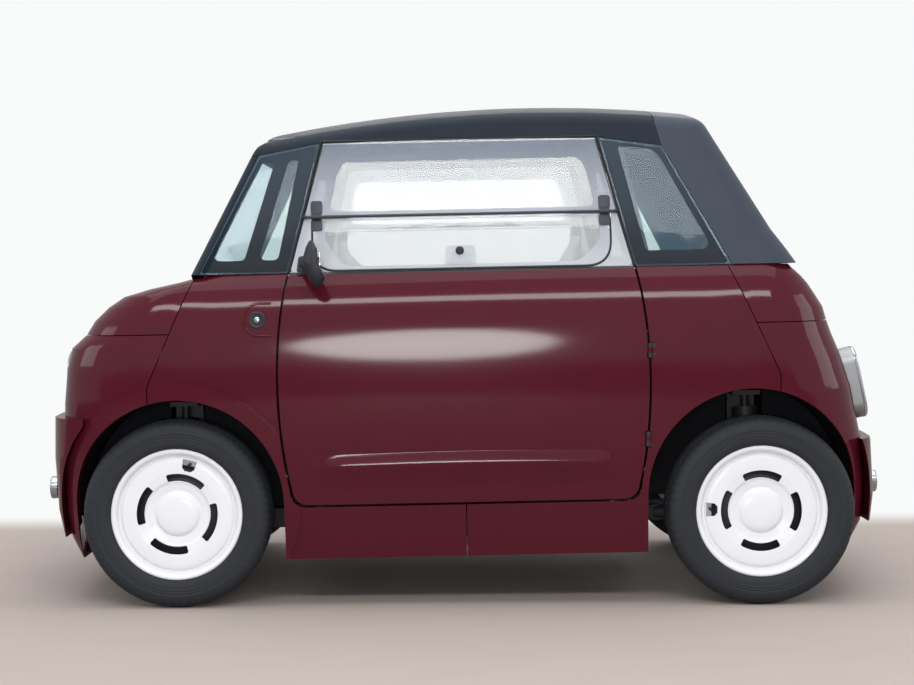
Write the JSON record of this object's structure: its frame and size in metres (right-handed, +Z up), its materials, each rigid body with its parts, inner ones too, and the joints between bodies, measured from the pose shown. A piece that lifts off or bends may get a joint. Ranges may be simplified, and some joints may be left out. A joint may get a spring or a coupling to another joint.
{
  "type": "two-seat electric microcar",
  "caption": "Small closed two-seat electric car with round-nosed body, dark roof, flip-up door windows, rear-hinged left door and white slotted wheels.",
  "frame": {"origin": "on the ground below the middle of the car's length and width", "axes": "+X forward, +Y to the car's left, +Z up"},
  "size_m": [2.5392, 1.6, 1.5193],
  "materials": {
    "body_paint": "gloss burgundy",
    "roof_paint": "gloss dark slate",
    "dark_plastic": "grained",
    "tinted_glass": "dark tint",
    "clear_glass": "clear",
    "lamp_glass": "clear lens",
    "steel": "chassis black",
    "wheel_white": "gloss white",
    "tyre": "matt",
    "seat_fabric": "woven",
    "aluminium": "cast",
    "battery_case": "satin"
  },
  "bodies": {
    "body": {"chassis": "steel", "battery_pack": "battery_case", "drive_motor": "aluminium", "floor_pan": "dark_plastic", "bulkheads": "dark_plastic", "front_fascia": "body_paint", "bonnet": "body_paint", "wing_front_left": "body_paint", "wing_front_right": "body_paint", "wing_rear_left": "body_paint", "wing_rear_right": "body_paint", "rear_fascia": "body_paint", "rear_deck": "body_paint", "cabin_frame": "dark_plastic", "roof_panel": "roof_paint", "rear_shell": "roof_paint", "pillar_covers": "roof_paint", "windscreen": "clear_glass", "rear_window": "clear_glass", "quarter_glass_front": "tinted_glass", "quarter_glass_rear": "tinted_glass", "arch_liners": "dark_plastic", "dashboard": "dark_plastic", "seat_driver": "seat_fabric", "seat_passenger": "seat_fabric", "steering_column": "dark_plastic", "suspension_front": "steel", "suspension_rear": "steel", "headlamps": "lamp_glass", "rear_lamps": "lamp_glass", "marker_lamps": "lamp_glass", "hinge_leaves": "steel", "wiper": "dark_plastic"},
    "door_left_body": {"door_left": "body_paint", "door_glazing_left": "clear_glass", "flip_window_left": "clear_glass", "mirror_left": "dark_plastic"},
    "door_right_body": {"door_right": "body_paint", "door_glazing_right": "clear_glass", "flip_window_right": "clear_glass", "mirror_right": "dark_plastic"},
    "knuckle_left_body": {"knuckle_left": "aluminium"},
    "knuckle_right_body": {"knuckle_right": "aluminium"},
    "rack_body": {"steering_rack": "steel"},
    "steering_wheel_body": {"steering_wheel": "dark_plastic"},
    "roadwheel_front_left": {"tyre_front_left": "tyre", "wheel_front_left": "wheel_white"},
    "roadwheel_front_right": {"tyre_front_right": "tyre", "wheel_front_right": "wheel_white"},
    "roadwheel_rear_left": {"tyre_rear_left": "tyre", "wheel_rear_left": "wheel_white"},
    "roadwheel_rear_right": {"tyre_rear_right": "tyre", "wheel_rear_right": "wheel_white"}
  },
  "joints": [
    {"name": "wheel_spin_front_left", "type": "hinge", "parent": "knuckle_left_body", "child": "roadwheel_front_left", "pos_m": [0.84822, 0.59, 0.2785], "axis": [0, 1, 0], "continuous": true},
    {"name": "wheel_spin_front_right", "type": "hinge", "parent": "knuckle_right_body", "child": "roadwheel_front_right", "pos_m": [0.84822, -0.59, 0.2785], "axis": [0, 1, 0], "continuous": true},
    {"name": "wheel_spin_rear_left", "type": "hinge", "parent": "body", "child": "roadwheel_rear_left", "pos_m": [-0.87997, 0.59, 0.2785], "axis": [0, 1, 0], "continuous": true},
    {"name": "wheel_spin_rear_right", "type": "hinge", "parent": "body", "child": "roadwheel_rear_right", "pos_m": [-0.87997, -0.59, 0.2785], "axis": [0, 1, 0], "continuous": true},
    {"name": "steer_left", "type": "hinge", "parent": "body", "child": "knuckle_left_body", "pos_m": [0.84822, 0.54, 0.2785], "axis": [0.0148, 0, 0.9999], "range_deg": [-28, 28]},
    {"name": "steer_right", "type": "hinge", "parent": "body", "child": "knuckle_right_body", "pos_m": [0.84822, -0.54, 0.2785], "axis": [0.0148, 0, 0.9999], "range_deg": [-28, 28]},
    {"name": "rack_slide", "type": "slide", "parent": "body", "child": "rack_body", "axis": [0, 1, 0], "range_m": [-0.0645, 0.0645]},
    {"name": "steering_wheel_turn", "type": "hinge", "parent": "body", "child": "steering_wheel_body", "pos_m": [0.31782, 0.29, 0.79519], "axis": [-0.8348, 0, 0.5505], "range_deg": [-450, 450]},
    {"name": "door_left_hinge", "type": "hinge", "parent": "body", "child": "door_left_body", "pos_m": [-0.54682, 0.697, 0.75802], "axis": [-0.0236, 0.0231, 0.9995], "range_deg": [0, 72]},
    {"name": "door_right_hinge", "type": "hinge", "parent": "body", "child": "door_right_body", "pos_m": [0.54506, -0.697, 0.74182], "axis": [0.0532, -0.0231, 0.9983], "range_deg": [0, 72]}
  ],
  "couplings": [
    {"joint": "steer_right", "follows": "steer_left", "ratio": 1},
    {"joint": "rack_slide", "follows": "steer_left", "m_per_rad": 0.13},
    {"joint": "steering_wheel_turn", "follows": "steer_left", "ratio": 16}
  ]
}
